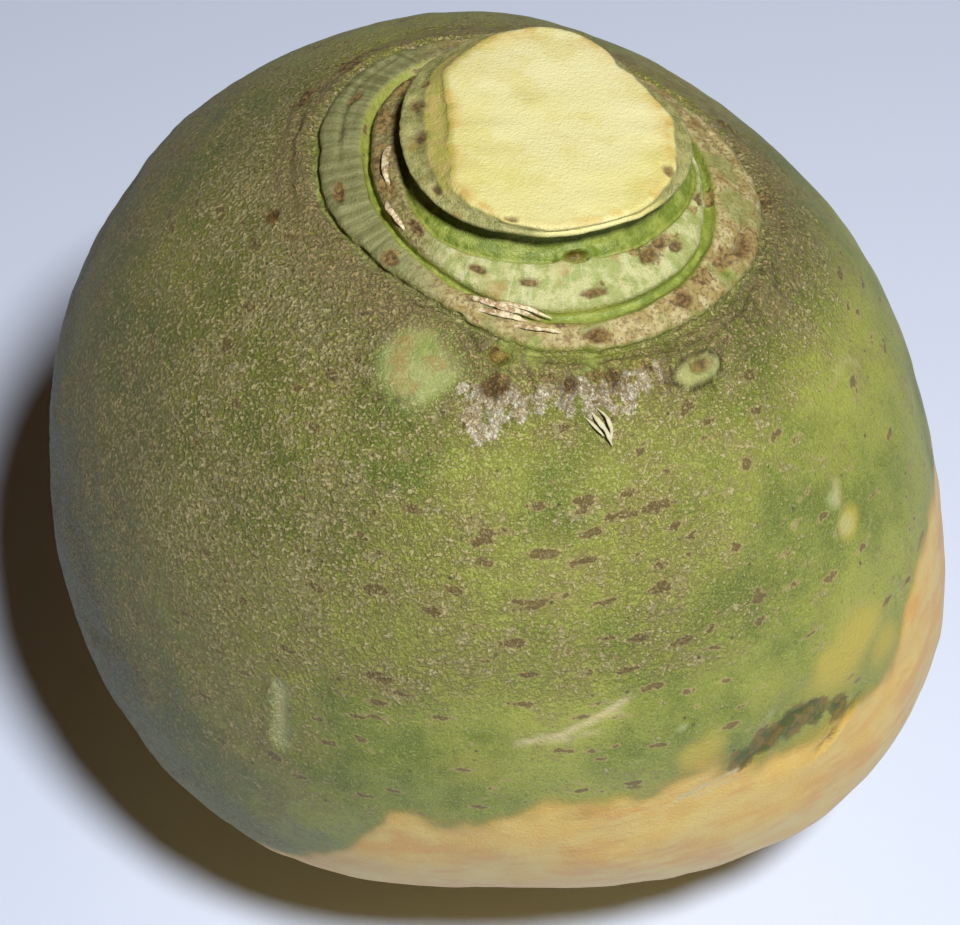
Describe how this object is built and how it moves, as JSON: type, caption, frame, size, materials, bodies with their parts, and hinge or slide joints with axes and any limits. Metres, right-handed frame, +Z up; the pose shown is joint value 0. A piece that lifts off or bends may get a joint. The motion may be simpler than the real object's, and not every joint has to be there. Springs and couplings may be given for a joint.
{
  "type": "rutabaga",
  "caption": "Whole rutabaga root with a cut leaf neck, stepped leaf-scar rings and a trimmed taproot flat that it stands on.",
  "frame": {"origin": "under the middle of the root's bounding box, in the plane of the taproot flat that it stands on", "axes": "+Z up from the taproot flat to the cut neck; +X towards the side the neck leans to; -Y towards the viewer"},
  "size_m": [0.126, 0.126, 0.1204],
  "materials": {
    "rind": "waxy green rind with corky tan russet, tan at the base, pale yellow flesh on the cut neck"
  },
  "bodies": {
    "root": {"rutabaga": "rind"}
  },
  "joints": []
}
